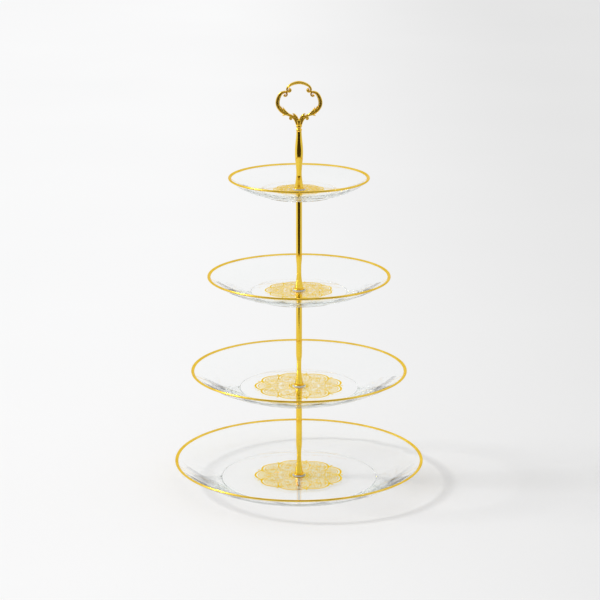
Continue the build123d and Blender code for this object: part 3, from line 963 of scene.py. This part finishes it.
ring_ob = bpy.data.objects.new("scroll_ring", fused)
bpy.context.scene.collection.objects.link(ring_ob)
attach(ring_ob, "handle")
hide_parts("handle_ring")


# -------------------------------------------------------------------- studio
def stage_plane(name, corners, material, **visible):
    me = bpy.data.meshes.new(name)
    me.from_pydata(corners, [], [(0, 1, 2, 3)])
    me.update()
    me.materials.append(material)
    ob = bpy.data.objects.new(name, me)
    bpy.context.scene.collection.objects.link(ob)
    for k, v in visible.items():
        setattr(ob, k, v)
    return ob


def floor_paint():
    """White sweep with painted shade: its colour turns greyer towards the right, standing in for the light falling
    off there.
    """
    mat = bpy.data.materials.new("studio_floor")
    nt, out = node_tree(mat)
    p = add(nt, "ShaderNodeBsdfDiffuse")
    tc = add(nt, "ShaderNodeTexCoord")
    sep = add(nt, "ShaderNodeSeparateXYZ")
    link(nt, tc, "Object", sep, "Vector")
    n = add(nt, "ShaderNodeTexNoise", Scale=1.5, Detail=2.0)
    link(nt, tc, "Object", n, "Vector")
    across = add(nt, "ShaderNodeMapRange")
    across.interpolation_type = "SMOOTHSTEP"
    across.inputs["From Min"].default_value = -0.35
    across.inputs["From Max"].default_value = 0.75
    link(nt, sep, "X", across, "Value")
    # painted shade: the floor colour runs from 0.906 at the left to 0.750 at the right in place of the key light's
    # falloff
    col = ramp(nt, [(0.0, (0.906, 0.906, 0.906)), (1.0, (0.750, 0.749, 0.746))])
    link(nt, across, "Result", col, "Fac")
    soft = ramp(nt, [(0.3, (0.985, 0.985, 0.985)), (0.7, (1.0, 1.0, 1.0))])
    link(nt, n, "Fac", soft, "Fac")
    mul = add(nt, "ShaderNodeMix")
    mul.data_type = "RGBA"
    mul.blend_type = "MULTIPLY"
    mul.inputs[0].default_value = 1.0
    nt.links.new(col.outputs["Color"], mul.inputs[6])
    nt.links.new(soft.outputs["Color"], mul.inputs[7])
    nt.links.new(mul.outputs[2], p.inputs["Color"])
    link(nt, p, "BSDF", out, "Surface")
    return mat


def card_paint(name, colour):
    mat = bpy.data.materials.new(name)
    nt, out = node_tree(mat)
    e = add(nt, "ShaderNodeEmission", Strength=1.0)
    e.inputs["Color"].default_value = (*colour, 1)
    link(nt, e, "Emission", out, "Surface")
    return mat


stage_plane("floor", [(-14, -14, -0.0004), (14, -14, -0.0004), (14, 22, -0.0004), (-14, 22, -0.0004)], floor_paint())
# the dark part of the room in front of the table, seen only in reflections
def dark_room():
    """Dark to a ray that has been mirrored once, clear to any other ray."""
    mat = bpy.data.materials.new("dark_room")
    nt, out = node_tree(mat)
    e = add(nt, "ShaderNodeEmission", Strength=1.0)
    e.inputs["Color"].default_value = (0.052, 0.040, 0.028, 1)
    c = add(nt, "ShaderNodeBsdfTransparent")
    lp = add(nt, "ShaderNodeLightPath")
    g = add(nt, "ShaderNodeMath", operation="GREATER_THAN")
    link(nt, lp, "Glossy Depth", g, 0)
    g.inputs[1].default_value = 0.5
    mix = add(nt, "ShaderNodeMixShader")
    nt.links.new(g.outputs[0], mix.inputs[0])
    nt.links.new(c.outputs[0], mix.inputs[1])
    nt.links.new(e.outputs[0], mix.inputs[2])
    link(nt, mix, "Shader", out, "Surface")
    return mat


edge = [(0.25, 0.0), (0.55, 0.06), (1.20, 0.12), (1.20, 0.28), (0.85, 0.40), (0.85, 0.80)]
me = bpy.data.meshes.new("dark_front")
me.from_pydata([(x, -0.70, z) for x, z in edge] + [(-x, -0.70, z) for x, z in edge[::-1]], [], [tuple(range(12))])
me.update()
me.materials.append(dark_room())
card = bpy.data.objects.new("dark_front", me)
bpy.context.scene.collection.objects.link(card)
card.visible_camera = card.visible_diffuse = card.visible_shadow = False
card.visible_transmission = card.visible_volume_scatter = False

world = bpy.data.worlds.new("studio")
bpy.context.scene.world = world
world.use_nodes = True
wt = world.node_tree
wt.nodes.clear()
wo = wt.nodes.new("ShaderNodeOutputWorld")
wb = wt.nodes.new("ShaderNodeBackground")
# the walls and ceiling look brighter in glass and gold than the light they give
lpw = wt.nodes.new("ShaderNodeLightPath")
seen = wt.nodes.new("ShaderNodeMath")
seen.operation = "MAXIMUM"
wt.links.new(lpw.outputs["Is Glossy Ray"], seen.inputs[0])
wt.links.new(lpw.outputs["Is Transmission Ray"], seen.inputs[1])
level = wt.nodes.new("ShaderNodeMapRange")
level.inputs["To Min"].default_value = 0.71
level.inputs["To Max"].default_value = 0.90
wt.links.new(seen.outputs[0], level.inputs["Value"])
wt.links.new(level.outputs["Result"], wb.inputs["Strength"])
wb.inputs["Color"].default_value = (1.0, 1.0, 1.005, 1)
wt.links.new(wb.outputs[0], wo.inputs[0])

sun_data = bpy.data.lights.new("key", "SUN")
sun_data.energy = 1.72
sun_data.angle = math.radians(13.0)
sun = bpy.data.objects.new("key", sun_data)
sun.rotation_euler = (Vector((0, 0, 0)) - Vector((-2.0, 0.0, 1.62))).to_track_quat("-Z", "Y").to_euler()
bpy.context.scene.collection.objects.link(sun)

cam_data = bpy.data.cameras.new("camera")
cam_data.lens = 125.3
cam_data.sensor_width = 36.0
cam_data.clip_end = 100.0
cam = bpy.data.objects.new("camera", cam_data)
cam.location = (0.0012, -2.4237, 0.8776)
cam.rotation_euler = (math.radians(90.0 - 14.992), 0.0, 0.0)
bpy.context.scene.collection.objects.link(cam)
bpy.context.scene.camera = cam

sc = bpy.context.scene
sc.view_settings.view_transform = "Standard"
sc.view_settings.look = "None"
sc.cycles.max_bounces = 28
sc.cycles.transmission_bounces = 26
sc.cycles.glossy_bounces = 26
sc.cycles.diffuse_bounces = 3
sc.cycles.transparent_max_bounces = 40
